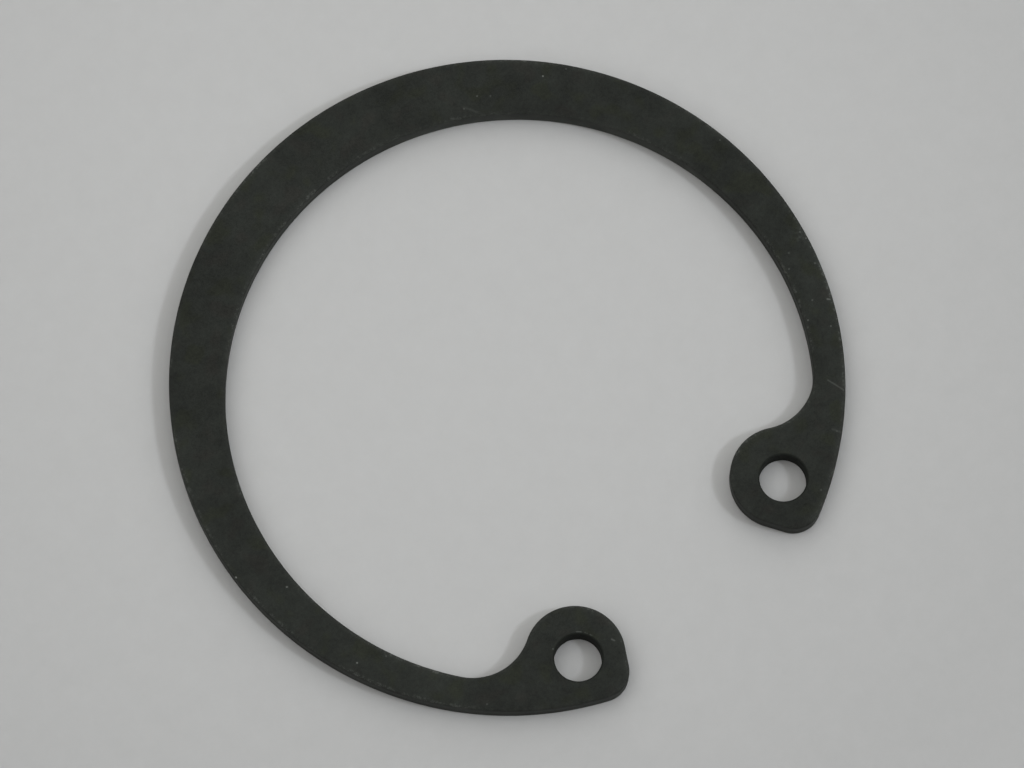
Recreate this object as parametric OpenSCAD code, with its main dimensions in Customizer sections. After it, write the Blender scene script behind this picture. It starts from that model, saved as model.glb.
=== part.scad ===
// Internal retaining ring: a flat spring ring stamped from steel strip. It is squeezed at the two
// plier holes, dropped into a groove in a bore, and springs out against the groove's floor.
// The ring lies on its lower face, its axis is Z, and its gap is towards -Y.

/* [Ring] */
// Outer diameter of the ring when it is free
outer_d = 34.4; // [31:0.1:40]
// Thickness of the strip that the ring is stamped from
thickness = 1.2; // [0.8:0.05:2]
// Radial width of the band opposite the gap, where it is widest
band_wide = 3.2; // [2.6:0.05:3.8]
// Radial width that the band's inner circle tapers down to at the gap
band_narrow = 1.25; // [1:0.05:1.6]
// Radius of the tumbled edges, on both faces
edge_r = 0.15; // [0.08:0.01:0.25]

/* [Lugs] */
// Depth of a lug, from the outer circle in towards the axis
lug_depth = 5.1; // [4.7:0.05:5.6]
// Radius of a lug's round end
lug_r = 2.55; // [2.3:0.05:2.8]
// Angle between the centres of the two lugs, seen from the axis
lug_angle = 57.2; // [55:0.2:62]
// Radius of the corner between a lug's straight end and the outer circle
corner_r = 1.4; // [1.1:0.05:1.7]
// Angle between the centres of those two corners, seen from the axis
corner_angle = 49.2; // [47:0.2:51]
// Radius of the hollow where a lug grows out of the band
hollow_r = 2.9; // [2.2:0.1:3.6]

/* [Plier holes] */
// Diameter of the hole in each lug
hole_d = 2.4; // [1.8:0.05:2.8]
// Distance from the outer circle in to the centre of a hole
hole_inset = 2.35; // [2.1:0.05:2.6]
// Angle between the centres of the two holes, seen from the axis
hole_angle = 56.4; // [54:0.2:59]

/* [Hidden] */
$fn = 180;

// Phosphated spring steel
steel_black = [0.17, 0.18, 0.165];

// A round piece stands this much proud of the one it runs into, so that they cross and don't only touch
proud = 0.005;
// Depth below the outer circle to which a lug is sunk in the band
sunk = 0.5;
// Angle by which a lug's round end runs on inside the lug
run_on = 15;
// Height by which a cutter stands out of both faces
past = 1;
// Longer than anything here
far = 2 * outer_d;

// Direction on the plan at an angle from -Y, and at an angle from +X
function heading(a) = [sin(a), -cos(a)];
function toward(a) = [cos(a), sin(a)];
function angle_of(v) = atan2(v.y, v.x);

outer_r = outer_d / 2;
inner_r = outer_r - (band_wide + band_narrow) / 2;
inner_c = [0, -(band_wide - band_narrow) / 2];
lug_c = (outer_r - lug_depth + lug_r) * heading(lug_angle / 2);
corner_c = (outer_r - corner_r + proud) * heading(corner_angle / 2);
hole_c = (outer_r - hole_inset) * heading(hole_angle / 2);

// The hollow's circle lies in the inner circle and beside the lug's, and meets both
hollow_to_inner = inner_r - hollow_r + proud;
hollow_to_lug = lug_r + hollow_r - proud;
inner_to_lug = norm(lug_c - inner_c);
hollow_swing = acos((inner_to_lug ^ 2 + hollow_to_inner ^ 2 - hollow_to_lug ^ 2)
    / (2 * inner_to_lug * hollow_to_inner));
root_angle = angle_of(lug_c - inner_c) + hollow_swing;
hollow_c = inner_c + hollow_to_inner * toward(root_angle);

// The straight end lies along the lug's circle and the corner's, and faces end_angle
lug_to_corner = corner_c - lug_c;
end_angle = 360 + angle_of(lug_to_corner) - acos((lug_r - corner_r) / norm(lug_to_corner));
neck_angle = angle_of(hollow_c - lug_c);

// What a rounded edge takes off a square one
module edge_waste() {
    difference() {
        square(edge_r);
        translate([edge_r, edge_r]) circle(edge_r);
    }
}

// Section of the strip between two radii, rounded at its outer edges
module section(from, to) {
    difference() {
        translate([from, 0]) square([to - from, thickness]);
        for (top = [0, 1])
            translate([to, top * thickness]) mirror([1, 0]) mirror([0, top]) edge_waste();
    }
}

// Disc of the strip with rounded edges, or a sector of one
module rounded_disc(r, start = 0, sweep = 360) {
    rotate_extrude(start = start, angle = sweep) section(0, r);
}

// Cutter for a round hole with rounded edges
module rounded_hole(r) {
    translate([0, 0, -past]) cylinder(r = r, h = thickness + 2 * past);
    rotate_extrude()
        for (top = [0, 1])
            translate([r, top * thickness]) mirror([0, top]) edge_waste();
}

// Everything up to a lug's straight end, with rounded edges along it
module inside_end() {
    translate(lug_c)
        rotate(end_angle)
            rotate([90, 0, 0])
                linear_extrude(2 * far, center = true)
                    section(-far, lug_r - proud);
}

// Eccentric band: the outer disc without the inner circle and without the gap
module band() {
    gap_edge = far * heading(corner_angle / 2);
    difference() {
        rounded_disc(outer_r);
        translate(inner_c) rounded_hole(inner_r);
        translate([0, 0, -past])
            linear_extrude(thickness + 2 * past)
                polygon([[0, 0], gap_edge, [-gap_edge.x, gap_edge.y]]);
    }
}

// Body of a lug, from its straight end to its hollow, sunk in the band
module lug_body() {
    difference() {
        intersection() {
            inside_end();
            translate([0, 0, -past])
                linear_extrude(thickness + 2 * past)
                    intersection() {
                        polygon([
                            hollow_c,
                            lug_c,
                            lug_c + 2 * lug_r * toward(end_angle),
                            corner_c + 2 * lug_r * toward(end_angle),
                            corner_c,
                            far * heading(lug_angle / 2),
                            hollow_c + far * toward(root_angle)
                        ]);
                        circle(outer_r - sunk);
                    }
        }
        translate(hollow_c) rounded_hole(hollow_r);
    }
}

// Lug with its round end and its corner, still without the plier hole
module lug() {
    lug_body();
    translate(lug_c) rounded_disc(lug_r, neck_angle - run_on, end_angle - neck_angle + 2 * run_on);
    translate(corner_c) rounded_disc(corner_r);
}

module retaining_ring() color(steel_black) {
    difference() {
        union() {
            band();
            for (side = [0, 1])
                mirror([side, 0, 0]) lug();
        }
        for (side = [0, 1])
            mirror([side, 0, 0]) translate(hole_c) rounded_hole(hole_d / 2);
    }
}

retaining_ring();
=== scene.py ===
# %% [markdown]
# # A retaining ring in black phosphate
#
# The part is a flat spring ring that holds something in a bore. It was stamped from steel strip, tumbled
# until its edges were no longer sharp, and dipped in a bath that left a thin, matte, greenish black coat
# of phosphate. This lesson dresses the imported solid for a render: the ring gets a finer mesh with the
# marks of the press on it, then its finish, and then come a camera, a pale board to lie on, and light.
# Everything is in the frame of the solid, in metres, so nothing has to be fitted by eye.

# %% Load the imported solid
import math

import bmesh
import bpy
from mathutils import Matrix, Vector


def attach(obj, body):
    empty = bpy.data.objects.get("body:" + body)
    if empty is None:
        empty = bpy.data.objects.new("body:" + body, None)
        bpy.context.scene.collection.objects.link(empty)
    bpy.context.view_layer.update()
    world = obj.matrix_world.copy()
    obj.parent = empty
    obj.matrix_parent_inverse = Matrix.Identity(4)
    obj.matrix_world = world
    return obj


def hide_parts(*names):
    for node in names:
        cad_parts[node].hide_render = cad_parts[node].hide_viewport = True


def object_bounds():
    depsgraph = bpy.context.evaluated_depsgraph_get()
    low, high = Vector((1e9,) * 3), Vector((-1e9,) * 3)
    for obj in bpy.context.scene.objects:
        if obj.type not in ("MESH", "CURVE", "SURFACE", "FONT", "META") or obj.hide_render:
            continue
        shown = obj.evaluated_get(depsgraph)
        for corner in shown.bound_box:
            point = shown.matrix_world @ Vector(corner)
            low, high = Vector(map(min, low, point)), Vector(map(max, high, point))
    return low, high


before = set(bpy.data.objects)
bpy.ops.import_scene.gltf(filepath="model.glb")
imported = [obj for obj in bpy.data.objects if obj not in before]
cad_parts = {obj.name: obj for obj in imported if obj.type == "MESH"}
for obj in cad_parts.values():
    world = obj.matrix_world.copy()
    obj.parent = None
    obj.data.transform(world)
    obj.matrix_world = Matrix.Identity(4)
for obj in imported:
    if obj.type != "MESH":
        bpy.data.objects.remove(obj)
cad_low, cad_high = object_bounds()
MM = 0.001
print("solids:", sorted(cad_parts), "mm:", [round(c / MM, 2) for c in (*cad_low, *cad_high)])

# %% [markdown]
# ## Sizes
#
# The outer circle and the thickness are read from the solid. The other sizes are the ring's own driving
# sizes, in millimetres and degrees, because the outline below is drawn again with finer steps than the
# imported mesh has. Only the last size is new: the width over which the upper face rolls off along the cut.

# %% Sizes of the ring
OUTER_R = cad_high.x / MM
THICKNESS = cad_high.z / MM
BAND_WIDE, BAND_NARROW = 3.2, 1.25
LUG_DEPTH, LUG_R, LUG_ANGLE = 5.1, 2.55, 57.2
CORNER_R, CORNER_ANGLE = 1.4, 49.2
HOLLOW_R = 2.9
HOLE_R, HOLE_INSET, HOLE_ANGLE = 1.2, 2.35, 56.4
EDGE_R = 0.15
ROLL = 0.45
print(f"outer radius {OUTER_R:.3f} mm, strip {THICKNESS:.3f} mm")

# %% [markdown]
# ## The outline
#
# A press tool is made of arcs and straight lines that run into each other, so the outline is drawn the
# same way. Half of it is a chain: the inner circle, the hollow at the root of a lug, the lug's round end,
# its short straight end, the corner, and the outer circle. The other half is its mirror image. Each point
# keeps the direction that leads out of the metal there, which is what the edge rounding needs later.
# Drawing arcs in code beats converting the solid's triangles, because the steps are even and the
# directions are exact.

# %% Arcs and straight lines
SPACING = 0.12


def heading(degrees):
    """Direction on the plan at an angle from -Y, where the gap is."""
    return Vector((math.sin(math.radians(degrees)), -math.cos(math.radians(degrees))))


def toward(angle):
    """Direction on the plan at an angle from +X, in radians."""
    return Vector((math.cos(angle), math.sin(angle)))


def bearing(v):
    """Angle from +X of a direction on the plan, in radians."""
    return math.atan2(v.y, v.x)


def arc(centre, radius, start, stop):
    """Points along an arc without its last one, each with the way out. A clockwise arc is hollow."""
    steps = max(2, math.ceil(abs(stop - start) * radius / SPACING))
    side = 1 if stop > start else -1
    rays = [toward(start + (stop - start) * i / steps) for i in range(steps)]
    return [(centre + radius * ray, side * ray) for ray in rays]


def straight(start, stop, outward):
    """Points along a straight line without its last one."""
    steps = max(2, math.ceil((stop - start).length / SPACING))
    return [(start.lerp(stop, i / steps), outward) for i in range(steps)]


def mirrored(points):
    """The points on the other side of the gap, in the opposite order."""
    return [(Vector((-p.x, p.y)), Vector((-n.x, n.y))) for p, n in reversed(points)]


# %% The circles, and where one runs into the next
inner_r = OUTER_R - (BAND_WIDE + BAND_NARROW) / 2
inner_c = Vector((0, (BAND_NARROW - BAND_WIDE) / 2))
lug_c = (OUTER_R - LUG_DEPTH + LUG_R) * heading(LUG_ANGLE / 2)
corner_c = (OUTER_R - CORNER_R) * heading(CORNER_ANGLE / 2)
hole_c = (OUTER_R - HOLE_INSET) * heading(HOLE_ANGLE / 2)

# The hollow's circle touches the inner circle from inside and the lug's circle from outside.
to_inner = inner_r - HOLLOW_R
to_lug = HOLLOW_R + LUG_R
base = (lug_c - inner_c).length
swing = math.acos((base**2 + to_inner**2 - to_lug**2) / (2 * base * to_inner))
root = bearing(lug_c - inner_c) + swing
hollow_c = inner_c + to_inner * toward(root)
neck = bearing(lug_c - hollow_c)

# The straight end touches the lug's circle and the corner's circle.
span = corner_c - lug_c
end = math.tau + bearing(span) - math.acos((LUG_R - CORNER_R) / span.length)
end_out = toward(end)
print(f"inner radius {inner_r:.3f} mm, straight end {abs(span.cross(end_out)):.3f} mm")

# %% Chain them into loops
TOP = math.pi / 2
half = (
    arc(inner_c, inner_r, TOP, root)
    + arc(hollow_c, HOLLOW_R, root, neck)
    + arc(lug_c, LUG_R, neck + math.pi, end)
    + straight(lug_c + LUG_R * end_out, corner_c + CORNER_R * end_out, end_out)
    + arc(corner_c, CORNER_R, end, math.tau + bearing(corner_c))
    + arc(Vector((0, 0)), OUTER_R, bearing(corner_c), TOP)
    + [(Vector((0, OUTER_R)), Vector((0, 1)))]
)
rim_loop = half + mirrored(half[1:-1])
right_hole = arc(hole_c, HOLE_R, math.tau, 0)
loops = [rim_loop, right_hole, mirrored(right_hole)]
print("outline points:", [len(loop) for loop in loops])

# %% [markdown]
# ## Sockets that can be added and multiplied
#
# Both the shape and the finish below are node trees. A node tree written link by link is hard to read, so
# one small class wraps a socket and lets Python's operators add the Math nodes. Any other node comes from
# its `add` method: the kind of node, its settings, then the values or links of its sockets. Most masks
# are ramps: they start at one value, end at another, and stay between 0 and 1.

# %% A socket that does arithmetic
class Wire:
    """A node socket, or just a tree to start from, that Python can calculate with."""

    def __init__(self, tree, socket=None):
        self.tree, self.socket = tree, socket

    def add(self, kind, settings=(), sockets=(), output=0):
        node = self.tree.nodes.new(kind)
        for name, value in dict(settings).items():
            if name == "stops":
                elements = node.color_ramp.elements
                while len(elements) < len(value):
                    elements.new(0.5)
                for element, (position, colour) in zip(elements, value):
                    element.position, element.color = position, (*colour, 1)
            else:
                setattr(node, name, value)
        for name, value in dict(sockets).items():
            if isinstance(value, Wire):
                self.tree.links.new(value.socket, node.inputs[name])
            else:
                node.inputs[name].default_value = value
        return Wire(self.tree, node.outputs[output] if node.outputs else None)

    def other(self, name):
        """Another output of the same node."""
        return Wire(self.tree, self.socket.node.outputs[name])

    def math(self, operation, *values, clamp=False):
        settings = {"operation": operation, "use_clamp": clamp}
        return self.add("ShaderNodeMath", settings, dict(enumerate((self, *values))))

    def vector(self, operation, *values, output=0):
        settings = {"operation": operation}
        return self.add("ShaderNodeVectorMath", settings, dict(enumerate((self, *values))), output)

    def scaled(self, factor):
        """A colour or vector times a number."""
        return self.add("ShaderNodeVectorMath", {"operation": "SCALE"}, {0: self, "Scale": factor})

    def rgb(self, *colour):
        """A constant colour or vector to start from."""
        return self.add("ShaderNodeCombineXYZ", (), dict(enumerate(colour)))

    def clamped(self):
        return self.math("ADD", 0.0, clamp=True)

    def ramp(self, zero, one):
        """0 up to the first value, 1 from the second on, and straight in between."""
        return (self - zero).math("MULTIPLY", 1 / (one - zero), clamp=True)

    def __add__(self, other):
        return self.math("ADD", other)

    def __mul__(self, other):
        return self.math("MULTIPLY", other)

    def __sub__(self, other):
        return self.math("SUBTRACT", other)

    def __rsub__(self, other):
        return (self * -1.0) + other

    def __truediv__(self, other):
        return self.math("DIVIDE", other)

    __radd__, __rmul__ = __add__, __mul__


# %% [markdown]
# ## The stamped and tumbled ring
#
# A plate with an even rounding on every edge follows a rule, so Geometry Nodes build it. The tree takes
# the flat outline loops and extrudes them step by step: round the lower edge, up the wall, and round the
# upper edge. A repeat zone does the steps, so the number of steps is just an input. Before the strip
# sheared, its upper face was drawn in a little along the cut, so there the edge rolls off over nearly
# half a millimetre; at the lower face and at the small holes it is only tumbled round. The wall of a
# stamped part isn't smooth: it is a little uneven where the metal sheared and then broke, so a fixed
# noise moves it in by a few microns. At the end the flat faces are filled, with the plier holes left
# open. A bevel modifier could round the edges too, but it wouldn't know the wall from the faces, which
# the finish needs.

# %% Loops as a mesh of edges
def loops_mesh(name, loops, bores):
    """Edges along the loops; each point knows the way out of the metal and whether it is in a bore."""
    points, edges, outward, in_bore = [], [], [], []
    for number, loop in enumerate(loops):
        first = len(points)
        points += [(p.x * MM, p.y * MM, 0) for p, _ in loop]
        edges += [(first + i, first + (i + 1) % len(loop)) for i in range(len(loop))]
        outward += [c for _, n in loop for c in (n.x, n.y, 0)]
        in_bore += [float(number in bores)] * len(loop)
    mesh = bpy.data.meshes.new(name)
    mesh.from_pydata(points, edges, [])
    mesh.attributes.new("outward", "FLOAT_VECTOR", "POINT").data.foreach_set("vector", outward)
    mesh.attributes.new("bore", "FLOAT", "POINT").data.foreach_set("value", in_bore)
    return mesh


ring_loops = loops_mesh("ring_loops", loops, bores={1, 2})
print("loops:", len(ring_loops.vertices), "points,", len(ring_loops.edges), "edges")

# %% A tree with its named inputs, and the attributes in it
PLATE_INPUTS = {
    "Thickness": "Float", "Edge Radius": "Float", "Roll Width": "Float",
    "Unevenness": "Float", "Unevenness Scale": "Float", "Seed": "Float",
    "Edge Steps": "Int", "Wall Steps": "Int", "Material": "Material",
}


def empty_tree(name, inputs):
    """A Geometry Nodes tree with geometry in and out and an input for each name and kind."""
    tree = bpy.data.node_groups.new(name, "GeometryNodeTree")
    tree.interface.new_socket("Geometry", in_out="OUTPUT", socket_type="NodeSocketGeometry")
    tree.interface.new_socket("Geometry", in_out="INPUT", socket_type="NodeSocketGeometry")
    for label, kind in inputs.items():
        tree.interface.new_socket(label, in_out="INPUT", socket_type="NodeSocket" + kind)
    return tree


def stored(geometry, name, kind, value, selection=True):
    return geometry.add("GeometryNodeStoreNamedAttribute", {"data_type": kind}, {
        "Geometry": geometry, "Selection": selection, "Name": name, "Value": value})


def attribute(wire, name, kind):
    return wire.add("GeometryNodeInputNamedAttribute", {"data_type": kind}, {"Name": name})


# %% The section of the strip, step by step
def placed(start, geometry, selection, step):
    """Put the selected points where the section is after so many steps, and store how steep it is."""
    radius = start.other("Edge Radius")
    edge_steps, wall_steps = start.other("Edge Steps"), start.other("Wall Steps")
    below = step.math("DIVIDE", edge_steps, clamp=True)
    climb = (step - edge_steps).math("DIVIDE", wall_steps, clamp=True)
    above = (step - edge_steps - wall_steps).math("DIVIDE", edge_steps, clamp=True)
    angle = (below + above) * (math.pi / 2)
    wall = angle.math("SINE")
    height = radius * (1 - angle.math("COSINE")) + climb * (start.other("Thickness") - radius * 2)
    lift = start.add("ShaderNodeCombineXYZ", (), {"Z": height})

    outline = attribute(start, "outline", "FLOAT_VECTOR")
    rolled = (1 - attribute(start, "bore", "FLOAT")) * (start.other("Roll Width") - radius)
    width = radius + above.math("GREATER_THAN", 0.0) * rolled
    noise = start.add("ShaderNodeTexNoise", {"noise_dimensions": "4D"}, {
        "Vector": outline.vector("ADD", lift), "W": start.other("Seed"),
        "Scale": start.other("Unevenness Scale"), "Detail": 3.0})
    inset = width * (1 - wall) + noise * wall * start.other("Unevenness")
    inward = attribute(start, "outward", "FLOAT_VECTOR").scaled(inset * -1.0)
    moved = start.add("GeometryNodeSetPosition", (), {
        "Geometry": geometry, "Selection": selection,
        "Position": outline.vector("ADD", inward).vector("ADD", lift)})
    return stored(moved, "wall", "FLOAT", wall, selection)


# %% The repeat zone that goes through the steps
NUDGE = MM / 100


def grown(start, base):
    """Extrude the loops once for each step. Gives the rim and which of its edges are still open."""
    tree = start.tree
    enter = tree.nodes.new("GeometryNodeRepeatInput")
    leave = tree.nodes.new("GeometryNodeRepeatOutput")
    enter.pair_with_output(leave)
    leave.repeat_items.clear()
    leave.repeat_items.new("GEOMETRY", "Plate")
    leave.repeat_items.new("BOOLEAN", "Open")
    enter.inputs["Open"].default_value = True
    steps = start.other("Edge Steps") * 2 + start.other("Wall Steps")
    tree.links.new(steps.socket, enter.inputs["Iterations"])
    tree.links.new(base.socket, enter.inputs["Plate"])

    plate, still_open = Wire(tree, enter.outputs["Plate"]), Wire(tree, enter.outputs["Open"])
    step = Wire(tree, enter.outputs["Iteration"]) + 1.0
    longer = start.add("GeometryNodeExtrudeMesh", {"mode": "EDGES"}, {
        "Mesh": plate, "Selection": still_open, "Offset": (0, 0, 1), "Offset Scale": NUDGE})
    newest = longer.other("Top")
    tree.links.new(placed(start, longer, newest, step).socket, leave.inputs["Plate"])
    tree.links.new(newest.socket, leave.inputs["Open"])
    return Wire(tree, leave.outputs["Plate"]), Wire(tree, leave.outputs["Open"])


# %% The whole tree
WELD = MM / 1000


def filled(mesh, selection):
    """Flat faces inside the selected loops, with the holes left open."""
    curve = mesh.add("GeometryNodeMeshToCurve", (), {"Mesh": mesh, "Selection": selection})
    return curve.add("GeometryNodeFillCurve", (), {"Curve": curve})


def plate_tree():
    tree = empty_tree("stamped_plate", PLATE_INPUTS)
    start = Wire(tree).add("NodeGroupInput")
    kept = stored(start, "outline", "FLOAT_VECTOR", start.add("GeometryNodeInputPosition"))
    first_step = start.add("ShaderNodeValue")
    first_step.socket.default_value = 0.0
    base = placed(start, kept, True, first_step)
    rim, still_open = grown(start, base)

    lower = start.add("GeometryNodeFlipFaces", (), {"Mesh": filled(base, True)})
    lift = start.add("ShaderNodeCombineXYZ", (), {"Z": start.other("Thickness")})
    upper = start.add("GeometryNodeSetPosition", (), {"Geometry": filled(rim, still_open), "Offset": lift})
    joined = start.add("GeometryNodeJoinGeometry")
    for geometry in (upper, lower, rim):
        tree.links.new(geometry.socket, joined.socket.node.inputs[0])
    welded = start.add("GeometryNodeMergeByDistance", (), {"Geometry": joined, "Distance": WELD})
    real = start.add("GeometryNodeRealizeInstances", (), {"Geometry": welded})
    dressed = start.add("GeometryNodeSetMaterial", (), {
        "Geometry": real, "Material": start.other("Material")})
    start.add("NodeGroupOutput", (), {"Geometry": dressed})
    return tree


plate = plate_tree()
print("plate nodes:", len(plate.nodes))

# %% [markdown]
# ## What the finish reads
#
# One material covers the whole ring, because it is one piece of metal. Where each part of it shows
# follows from the place on the plan, the height, and two attributes of the mesh: `wall` goes from 0 on the
# faces to 1 on the sheared wall, and `bore` is 1 in the plier holes. One more small class collects these
# together with the noise of the coat, so that each step of the finish is a short function. It all reads
# Object coordinates, in millimetres, so that every mark can be written in its real size and place.

# %% Places, attributes and noise
class Skin:
    """What the finish needs to know about a point of the ring."""

    def __init__(self, tree):
        self.begin = Wire(tree)
        self.at = self.begin.add("ShaderNodeTexCoord", output="Object").scaled(1 / MM)
        self.plan = self.at.vector("MULTIPLY", (1, 1, 0))
        self.height = self.begin.add("ShaderNodeSeparateXYZ", (), {0: self.at}, output="Z")
        self.wall = self.begin.add("ShaderNodeAttribute", {"attribute_name": "wall"}, output="Fac")
        self.bore = self.begin.add("ShaderNodeAttribute", {"attribute_name": "bore"}, output="Fac")
        self.inside = (self.distance(inner_c) - inner_r).math("ABSOLUTE").ramp(0.5, 0.0)
        self.cloud = self.noise(scale=0.30, shift=24.0)
        self.patch = self.noise(scale=1.3, shift=31.0)
        self.grain = self.noise(scale=5.0, shift=7.0)
        self.crystal = self.noise(scale=17.0, detail=1.0)
        self.depth = 1 + self.cloud * 0.9 + self.patch * 0.7 + self.grain * 0.8 + self.crystal

    def noise(self, scale, detail=2.0, shift=0.0):
        """Noise about zero, with so many features to a millimetre."""
        where = self.at.vector("ADD", (shift, -shift, shift))
        sockets = {"Vector": where, "Scale": scale, "Detail": detail}
        return self.begin.add("ShaderNodeTexNoise", (), sockets) - 0.5

    def blend(self, factor, under, over):
        sockets = {0: factor, 6: under, 7: over}
        return self.begin.add("ShaderNodeMix", {"data_type": "RGBA"}, sockets, output=2)

    def distance(self, centre):
        """Distance on the plan from a point."""
        return self.plan.vector("DISTANCE", (*centre, 0), output="Value")

    def facing(self, centre, degrees, spread):
        """1 in a direction from a point on the plan, falling to 0 at so many degrees from it."""
        aim = toward(math.radians(degrees))
        ray = self.plan.vector("SUBTRACT", (*centre, 0)).vector("NORMALIZE")
        limit = math.cos(math.radians(spread))
        return ray.vector("DOT_PRODUCT", (*aim, 0), output="Value").ramp(limit, limit + (1 - limit) / 3)


# %% [markdown]
# ## The coat
#
# Phosphate is a coat of very small crystals, full of oil. It is almost black, with a green cast that
# turns olive where the bath was thinner, and it hardly shines. So the colour is a hue that drifts slowly,
# times a depth made of four sizes of noise, from patches of a few millimetres to single crystals. A single
# noise with much detail would be shorter, but its sizes couldn't be weighed against each other.

# %% The coat's colour
COAT_HUES = [
    (0.30, (0.0178, 0.0185, 0.0158)), (0.41, (0.0167, 0.0187, 0.0160)),
    (0.54, (0.0166, 0.0186, 0.0158)), (0.65, (0.0166, 0.0187, 0.0134)),
]


def coat(skin):
    drift = skin.noise(scale=0.8, detail=1.0, shift=104.0) + 0.5
    hue = skin.begin.add("ShaderNodeValToRGB", {"stops": COAT_HUES}, {"Fac": drift})
    return hue.scaled(skin.depth)


print("hues of the coat:", len(COAT_HUES))

# %% [markdown]
# ## Walls and holes
#
# The sheared walls took less coat and are greyer; part of that grey is painted sheen, which stands in for
# the board's reflection that the walls catch at a grazing view. Below an uneven line the metal stopped
# shearing and broke, and the wall is lighter and rougher there. One stretch of the inner wall is painted
# lighter
# still: painted light for the light that the board inside the ring throws on it, and there the line shows
# most. The plier holes are painted darker than the rest: painted shade for the light that each hole's own
# walls keep out. All of it is blended over the coat by the mesh's own attributes, which follow the edge
# exactly, where a mask from the face's direction would catch the bump too.

# %% Colour of the walls and holes
# Grey of the walls: partly their thinner coat, partly painted sheen for the board's reflection at a grazing
# view
WALL_GREY_AND_SHEEN = (0.0280, 0.0300, 0.0265)
# Colour of the painted light on one stretch of the inner wall
LIT_WALL_GREY = (0.0360, 0.0385, 0.0340)
# Colour of the painted shade in the plier holes
HOLE_SHADE = (0.0145, 0.0162, 0.0138, 1)
# Height of the line in mm, how far it sways, and the width over which it fades
SHEAR_LINE, LINE_SWAY, LINE_FADE = 0.60, 0.8, 0.125
# Middle of the stretch of inner wall with painted light, in degrees from +X, and how far it reaches to
# either side
LIT_WALL_AT, LIT_WALL_SPREAD = 40.0, 36.0


def walls(skin, colour):
    """The colour with the walls and holes in it, where the wall is broken, and where the holes get painted
    shade.
    """
    line = SHEAR_LINE + skin.patch * LINE_SWAY
    broken = (line - skin.height).ramp(0.0, LINE_FADE) * skin.wall
    # The walls' grey: thinner coat, and painted sheen standing in for the board's reflection
    grey = skin.begin.rgb(*WALL_GREY_AND_SHEEN).scaled(skin.depth + broken * 0.15)
    colour = skin.blend(skin.wall.math("POWER", 3.0), colour, grey)

    # Painted light: one stretch of the inner wall is made lighter for the light that the board inside the
    # ring throws on it
    stretch = skin.facing(inner_c, LIT_WALL_AT, LIT_WALL_SPREAD)
    painted_wall_light = skin.inside * skin.wall.math("POWER", 10.0) * stretch
    grey = skin.begin.rgb(*LIT_WALL_GREY).scaled(skin.depth + broken * 0.5)
    colour = skin.blend(painted_wall_light, colour, grey)

    # Painted shade: the plier holes and their round rims are made darker for the light that the holes keep
    # out
    hole_shade = skin.bore * skin.wall.ramp(0.30, 0.40) * (0.95 - broken * 0.10)
    return skin.blend(hole_shade, colour, HOLE_SHADE), broken, hole_shade


print(f"the wall breaks about {SHEAR_LINE} mm above the lower face")

# %% [markdown]
# ## Rubbed edges
#
# On the round edges, where rings rub against each other in a box, the coat is broken into small light
# dots. They come in stretches, most of them where this ring lay against another. A plier has rubbed the
# rim of the left hole as well. The dots are the peaks of the coat's own grain, because those wear first.

# %% Where the coat is rubbed
# Steepness of the round edge at which the dots begin and end
EDGE_BEGINS, EDGE_ENDS = (0.55, 0.7167), (1.0, 0.9167)
# Values of the noise between which a stretch, a dot and the plier's mark come in
STRETCH, DOT, MARK = (-0.0625, 0.1875), (0.05, 0.1611), (-0.1083, 0.0583)
# Directions in degrees from +X, and how far each reaches to either side
BOX_RUB_AT, BOX_RUB_SPREAD = -20.0, 14.0
PLIER_RUB_AT, PLIER_RUB_SPREAD = 36.0, 21.0
# Radius of the plier's mark and its half width, in mm
PLIER_RUB_R, PLIER_RUB_HALF = HOLE_R + EDGE_R * 0.9, 0.0417
left_hole_c = Vector((-hole_c.x, hole_c.y))


def rubs(skin):
    """The dots along the round edges, and the plier's mark."""
    edge = skin.wall.ramp(*EDGE_BEGINS) * skin.wall.ramp(*EDGE_ENDS)
    boxed = skin.facing(inner_c, BOX_RUB_AT, BOX_RUB_SPREAD) * (1 - skin.inside * 0.5)
    often = skin.cloud.ramp(*STRETCH).math("MAXIMUM", boxed)
    dots = edge * (skin.grain + skin.crystal * 0.5).ramp(*DOT) * often

    off_rim = (skin.distance(left_hole_c) - PLIER_RUB_R).math("ABSOLUTE")
    pressed = skin.facing(left_hole_c, PLIER_RUB_AT, PLIER_RUB_SPREAD)
    return dots, off_rim.ramp(PLIER_RUB_HALF, 0.0) * pressed * skin.grain.ramp(*MARK)


print("left hole at, mm:", [round(c, 2) for c in left_hole_c])

# %% [markdown]
# ## Dust and scratches
#
# Crumbs of dust, a few scratches, a chip and a scuff lie where they are on the real ring. Each is a place
# on the plan, so its mask is a ramp on the distance from it: from a point for a crumb, from the nearest
# point of a short line for a scratch. A fine noise moves the plan a little first, so that no crumb is
# round and no scratch is straight. Small meshes would also do for the dust, but at this size they are
# less than a pixel high.

# %% Marks on the upper face
# Place on the plan in mm, and strength
SPECKS = [
    (-17.08, 1.52, 1.00), (12.26, 10.86, 0.62), (-15.50, -5.87, 0.60), (-15.51, -0.58, 0.50),
    (16.47, -4.52, 0.35), (9.01, 12.32, 0.30), (14.24, -8.81, 0.28), (16.45, -4.08, 0.28),
    (13.58, -7.80, 0.27), (14.46, -7.17, 0.26), (-7.67, -11.91, 0.24), (15.90, -5.81, 0.22),
    (8.05, 12.25, 0.20), (14.70, -5.16, 0.20), (10.71, -13.09, 0.20), (-14.17, -6.58, 0.19),
    (14.59, -4.21, 0.19), (13.40, 10.36, 0.18), (16.72, 2.27, 0.17), (15.27, -4.53, 0.17),
    (14.15, -6.28, 0.17), (-12.05, -11.81, 0.17), (9.53, 11.86, 0.16), (8.01, -14.82, 0.15),
]
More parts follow.
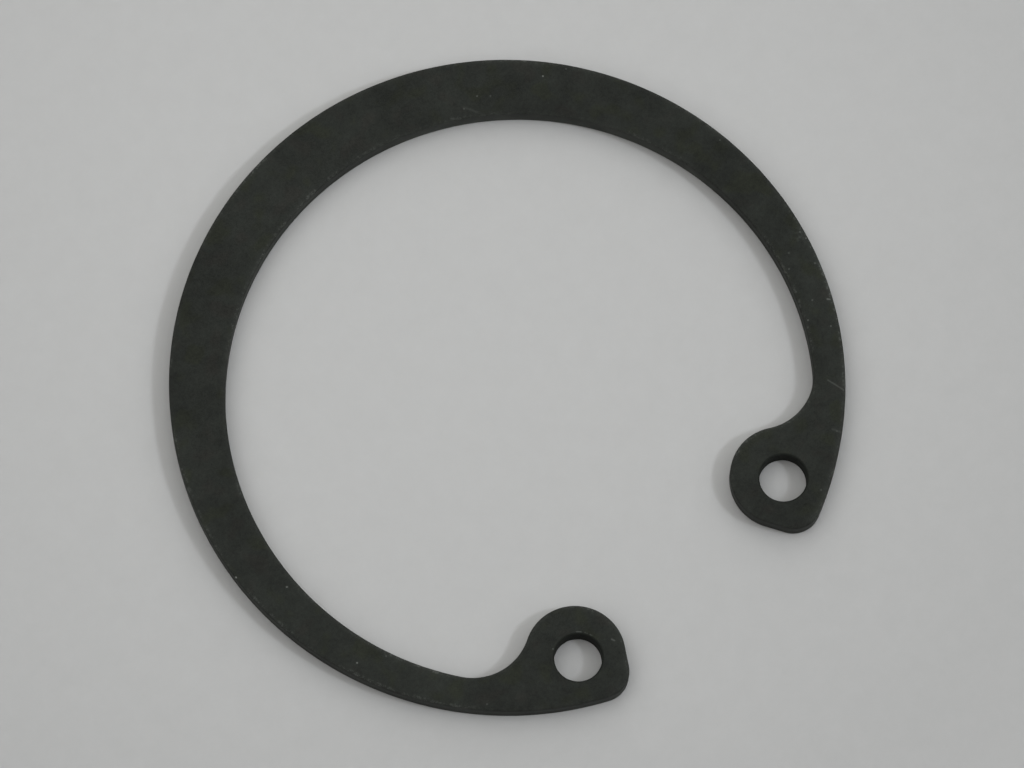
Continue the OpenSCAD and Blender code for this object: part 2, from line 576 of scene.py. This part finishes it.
# Both ends on the plan and half the width, in mm, and strength
SCRATCHES = [
    ((12.19, -10.81), (12.44, -11.74), 0.05, 0.18), ((10.62, -12.88), (10.84, -13.28), 0.08, 0.08),
    ((8.10, 12.30), (8.44, 11.68), 0.08, 0.07), ((-5.13, -13.50), (-5.07, -13.64), 0.05, 0.28),
    ((15.08, -7.64), (15.17, -7.73), 0.05, 0.45),
]
# A speck is full up to the first radius and gone at the second; the same for a scratch, by its half width
SPECK_FULL, SPECK_GONE = 0.0333, 0.0611
SCRATCH_FULL, SCRATCH_GONE = 0.2, 1.2
SCUFF, SCUFF_R, SCUFF_STRENGTH = (16.40, -4.25), 0.588, 0.125
SCUFF_GRAIN = (-0.05, 0.20)
# How far the fine noise moves the plan in mm, and its features to a millimetre
WOBBLE, WOBBLE_SCALE = 0.06, 9.0
print(len(SPECKS), "specks of dust,", len(SCRATCHES), "scratches and chips")


# %% Where dust and scratches show
def marks(skin):
    """Dust, scratches and the scuff, as if they lay on every face."""
    sockets = {"Vector": skin.at, "Scale": WOBBLE_SCALE}
    wobble = skin.begin.add("ShaderNodeTexNoise", (), sockets, output="Color")
    wobble = wobble.vector("SUBTRACT", (0.5, 0.5, 0.5)).vector("MULTIPLY", (WOBBLE, WOBBLE, 0))
    loose = skin.plan.vector("ADD", wobble)

    spots = []
    for x, y, strength in SPECKS:
        gap = loose.vector("DISTANCE", (x, y, 0), output="Value")
        spots.append(gap.ramp(SPECK_GONE, SPECK_FULL) * strength)
    for start, stop, half_width, strength in SCRATCHES:
        begin, run = Vector((*start, 0)), Vector((*stop, 0)) - Vector((*start, 0))
        from_begin = loose.vector("SUBTRACT", begin[:])
        along = from_begin.vector("DOT_PRODUCT", run[:], output="Value") / run.length_squared
        nearest = skin.begin.rgb(*run).scaled(along.clamped())
        gap = from_begin.vector("DISTANCE", nearest, output="Value")
        spots.append(gap.ramp(half_width * SCRATCH_GONE, half_width * SCRATCH_FULL) * strength)

    strongest = spots[0]
    for spot in spots[1:]:
        strongest = strongest.math("MAXIMUM", spot)
    scuff = skin.distance(SCUFF).ramp(SCUFF_R, 0.0) * skin.grain.ramp(*SCUFF_GRAIN)
    return strongest + scuff * SCUFF_STRENGTH


# %% [markdown]
# ## Black phosphate
#
# Now the steps come together. The rubs and the dust share one pale colour, laid over the coat by the
# strongest of them. Dust, scratches and the plier's mark keep to the upper face. The coat's two finest
# noises also feed the bump and the roughness, so that it stays matte from every side, and the broken wall
# is rougher still. The specular level is low, because a coat of small crystals hardly shines.

# %% The material
PALE = (0.176, 0.185, 0.172, 1)
PLIER_STRENGTH, RUB_STRENGTH = 0.30, 0.19
MATTE, SHINE = 0.60, 0.085
# Height of the crystals in mm
BUMP = 0.006


def black_phosphate():
    material = bpy.data.materials.new("black_phosphate")
    material.use_nodes = True
    material.node_tree.nodes.clear()
    skin = Skin(material.node_tree)
    colour, broken, hole_shade = walls(skin, coat(skin))
    dots, plied = rubs(skin)
    on_top = skin.height.ramp(THICKNESS - EDGE_R, THICKNESS - EDGE_R * 2 / 3)
    pale = marks(skin).math("MAXIMUM", plied * PLIER_STRENGTH) * on_top
    colour = skin.blend(pale.math("MAXIMUM", dots * RUB_STRENGTH), colour, PALE)

    fine = skin.grain * 0.3 + skin.crystal * 0.3
    roughness = MATTE + fine - dots * 0.1 + broken * 0.1 + hole_shade * 0.25
    relief = skin.grain * 0.6 + skin.crystal * 0.4 + broken * skin.patch * 1.5
    bump = skin.begin.add("ShaderNodeBump", (), {
        "Height": relief, "Distance": BUMP * MM, "Strength": 1.0})
    shader = skin.begin.add("ShaderNodeBsdfPrincipled", (), {
        "Base Color": colour, "Roughness": roughness, "Normal": bump, "Specular IOR Level": SHINE})
    skin.begin.add("ShaderNodeOutputMaterial", (), {"Surface": shader})
    return material


phosphate = black_phosphate()
print("finish nodes:", len(phosphate.node_tree.nodes))

# %% [markdown]
# ## The finished piece
#
# The tree runs once on the loops, and its result is kept as a plain mesh, because that is what the export
# needs. The object stays at the origin, so its coordinates are those of the solid that it stands for. Only
# the two flat faces are shaded flat; everything round or upright is smooth.

# %% Build the ring
EDGE_STEPS, WALL_STEPS = 8, 4
# Depth of the wall's unevenness in mm, its features to a metre, and its seed
UNEVEN, UNEVEN_SCALE, UNEVEN_SEED = 0.012, 900.0, 3.0


def built(mesh, tree, name, values):
    """Run the tree on a mesh and keep its result as a plain mesh on an object at the origin."""
    source = bpy.data.objects.new(name + "_loops", mesh)
    bpy.context.scene.collection.objects.link(source)
    modifier = source.modifiers.new(tree.name, "NODES")
    modifier.node_group = tree
    for item in tree.interface.items_tree:
        if item.in_out == "INPUT" and item.name in values:
            modifier[item.identifier] = values[item.name]
    dg = bpy.context.evaluated_depsgraph_get()
    evaluated = source.evaluated_get(dg)
    result = bpy.data.meshes.new_from_object(evaluated, preserve_all_data_layers=True, depsgraph=dg)
    bpy.data.objects.remove(source)
    result.name = name
    piece = bpy.data.objects.new(name, result)
    bpy.context.scene.collection.objects.link(piece)
    return piece


ring = built(ring_loops, plate, "phosphated_ring", {
    "Thickness": THICKNESS * MM, "Edge Radius": EDGE_R * MM, "Roll Width": ROLL * MM,
    "Edge Steps": EDGE_STEPS, "Wall Steps": WALL_STEPS, "Unevenness": UNEVEN * MM,
    "Unevenness Scale": UNEVEN_SCALE, "Seed": UNEVEN_SEED, "Material": phosphate})
print("ring:", len(ring.data.polygons), "faces")

# %% Check its mesh, shade it, and put it in the solid's place
# A face that points up or down at least this much is flat
FLAT = 0.9999

work = bmesh.new()
work.from_mesh(ring.data)
bmesh.ops.recalc_face_normals(work, faces=work.faces)
open_edges = sum(not e.is_manifold for e in work.edges)
for f in work.faces:
    f.smooth = abs(f.normal.z) < FLAT
volume = work.calc_volume()
work.to_mesh(ring.data)
work.free()
print(f"ring: {open_edges} open edges, {volume / MM**3:.1f} mm3")

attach(ring, "root")
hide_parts("retaining_ring")

# %% [markdown]
# ## Camera
#
# The picture was taken from above with the gap to the lower right, from about 74 degrees above the table
# and a little rolled. The frame is 1024 by 768, and `CENTRE` is where the ring's axis meets the table in
# it. A camera that is aimed at the axis and slid sideways keeps the lens straight, where a lens shift
# would do the same but would stay on in every other view.

# %% Camera
WIDTH, HEIGHT = 1024, 768
FOCAL_PX, DISTANCE = 8000.0, 0.40754
TURN, ELEVATION, LEAN = -45.9, 74.404, 3.961
CENTRE = (507.11, 387.54)
SENSOR = 36.0

tilt, roll = math.radians(ELEVATION), math.radians(LEAN)
back = Vector((0, -math.cos(tilt), math.sin(tilt)))
level = Vector((1, 0, 0))
upright = back.cross(level)
right = math.cos(roll) * level + math.sin(roll) * upright
up = math.cos(roll) * upright - math.sin(roll) * level
slide = right * ((CENTRE[0] - WIDTH / 2) / FOCAL_PX) + up * ((HEIGHT / 2 - CENTRE[1]) / FOCAL_PX)
pose = Matrix((right, up, back)).transposed().to_4x4()
pose.translation = (back - slide) * DISTANCE
turn = Matrix.Rotation(math.radians(TURN), 4, "Z")

camera_data = bpy.data.cameras.new("camera")
camera_data.sensor_width = SENSOR
camera_data.lens = FOCAL_PX / WIDTH * SENSOR
camera_data.clip_start, camera_data.clip_end = 0.01, 10
camera = bpy.data.objects.new("camera", camera_data)
camera.matrix_world = turn @ pose
bpy.context.scene.collection.objects.link(camera)
bpy.context.scene.camera = camera
print("camera at, mm:", [round(c / MM, 1) for c in camera.matrix_world.translation])

# %% [markdown]
# ## The board
#
# The ring lies on a pale grey board, a kind of card. It only carries the shadow, so it is one wide plane,
# plain apart from the faint mottle of its fibres and a painted fall-off of light: its colour is a little
# darker from the middle to the corners, towards the viewer and to the right. Light goes a little way into
# card before it comes out again, and a touch of subsurface scattering does that: it softens the shadow
# right beside the ring.

# %% The board's finish
BOARD_GREY = (0.4995, 0.5005, 0.4955)
# Painted fall-off of light: change of tone for each mm to the right and away from the viewer, and for each
# square mm from the middle
TONE_RIGHT, TONE_AWAY, TONE_FALLOFF = -0.0011, 0.0018, 0.000090
TONE_LOWEST = -0.12
MOTTLE = 0.08


def pale_board():
    material = bpy.data.materials.new("pale_board")
    material.use_nodes = True
    material.node_tree.nodes.clear()
    begin = Wire(material.node_tree)
    at = begin.add("ShaderNodeTexCoord", output="Object").scaled(1 / MM)
    mottle = begin.add("ShaderNodeTexNoise", (), {
        "Vector": at, "Scale": 0.8, "Detail": 4.0, "Roughness": 0.75})
    # Painted light: the slope and the fall-off make the board's colour darker away from the middle; the
    # mottle is the card's own
    brighter = turn.to_3x3() @ Vector((TONE_RIGHT, TONE_AWAY, 0))
    slope = at.vector("DOT_PRODUCT", brighter[:], output="Value")
    falloff = at.vector("DOT_PRODUCT", at, output="Value") * TONE_FALLOFF
    tone = (slope - falloff).math("MAXIMUM", TONE_LOWEST) + (mottle - 0.5) * MOTTLE
    shader = begin.add("ShaderNodeBsdfPrincipled", (), {
        "Base Color": begin.rgb(*BOARD_GREY).scaled(tone + 1), "Roughness": 0.75,
        "Specular IOR Level": 0.2, "Subsurface Weight": 0.5, "Subsurface Radius": (1, 1, 1),
        "Subsurface Scale": 0.4 * MM})
    begin.add("ShaderNodeOutputMaterial", (), {"Surface": shader})
    return material


# %% Lay the board
BOARD_HALF = 1.5

corners = [(x * BOARD_HALF, y * BOARD_HALF, 0) for x, y in ((-1, -1), (1, -1), (1, 1), (-1, 1))]
board_mesh = bpy.data.meshes.new("board")
board_mesh.from_pydata(corners, [], [(0, 1, 2, 3)])
board_mesh.materials.append(pale_board())
board = bpy.data.objects.new("board", board_mesh)
bpy.context.scene.collection.objects.link(board)
print(f"board: {2 * BOARD_HALF} m wide")

# %% [markdown]
# ## Light
#
# Most of the light comes from a wide panel overhead, set back from the viewer. A small, slightly blue
# lamp on the right gives the shadows an edge and divides the floor of each plier hole in two, and a panel
# below it and a broad one on the left soften them again. What is left is a dim room, which the camera
# sees as pale grey.

# %% Lamps
LAMP_DISTANCE = 0.8


def lamp(name, azimuth, elevation, size, power, colour):
    """Round area lamp aimed at the ring. The azimuth counts from the picture's right, anticlockwise."""
    a, e = math.radians(azimuth), math.radians(elevation)
    ray = turn.to_3x3() @ Vector((math.cos(a) * math.cos(e), math.sin(a) * math.cos(e), math.sin(e)))
    data = bpy.data.lights.new(name, "AREA")
    data.shape, data.size = "DISK", size
    data.energy, data.color = power, colour
    light = bpy.data.objects.new(name, data)
    light.location = ray * LAMP_DISTANCE
    light.rotation_mode = "QUATERNION"
    light.rotation_quaternion = ray.to_track_quat("Z", "Y")
    bpy.context.scene.collection.objects.link(light)
    print(f"{name}: {power} W, {size} m")


lamp("lamp_above", azimuth=85, elevation=55, size=2.28, power=11.3, colour=(1.0, 1.0, 0.985))
lamp("lamp_right", azimuth=354, elevation=50, size=0.10, power=1.29, colour=(0.90, 0.94, 1.0))
lamp("lamp_right_panel", azimuth=0, elevation=40, size=0.646, power=0.87, colour=(1.0, 1.0, 0.99))
lamp("lamp_left", azimuth=210, elevation=56, size=0.924, power=1.85, colour=(1.0, 1.0, 0.985))

# %% Room
ROOM_LIGHT, ROOM_SEEN = 0.12, 0.45


def room():
    world = bpy.data.worlds.new("room")
    world.use_nodes = True
    world.node_tree.nodes.clear()
    begin = Wire(world.node_tree)
    path = begin.add("ShaderNodeLightPath", output="Is Camera Ray")
    seen = (path + path.other("Is Glossy Ray") + path.other("Is Transmission Ray")).clamped()
    strength = ROOM_LIGHT + seen * (ROOM_SEEN - ROOM_LIGHT)
    sky = begin.add("ShaderNodeBackground", (), {"Color": (1, 1, 1, 1), "Strength": strength})
    begin.add("ShaderNodeOutputWorld", (), {"Surface": sky})
    return world


bpy.context.scene.world = room()
bpy.context.scene.view_settings.view_transform = "Standard"
print(f"room: lights with {ROOM_LIGHT}, is seen as {ROOM_SEEN}")
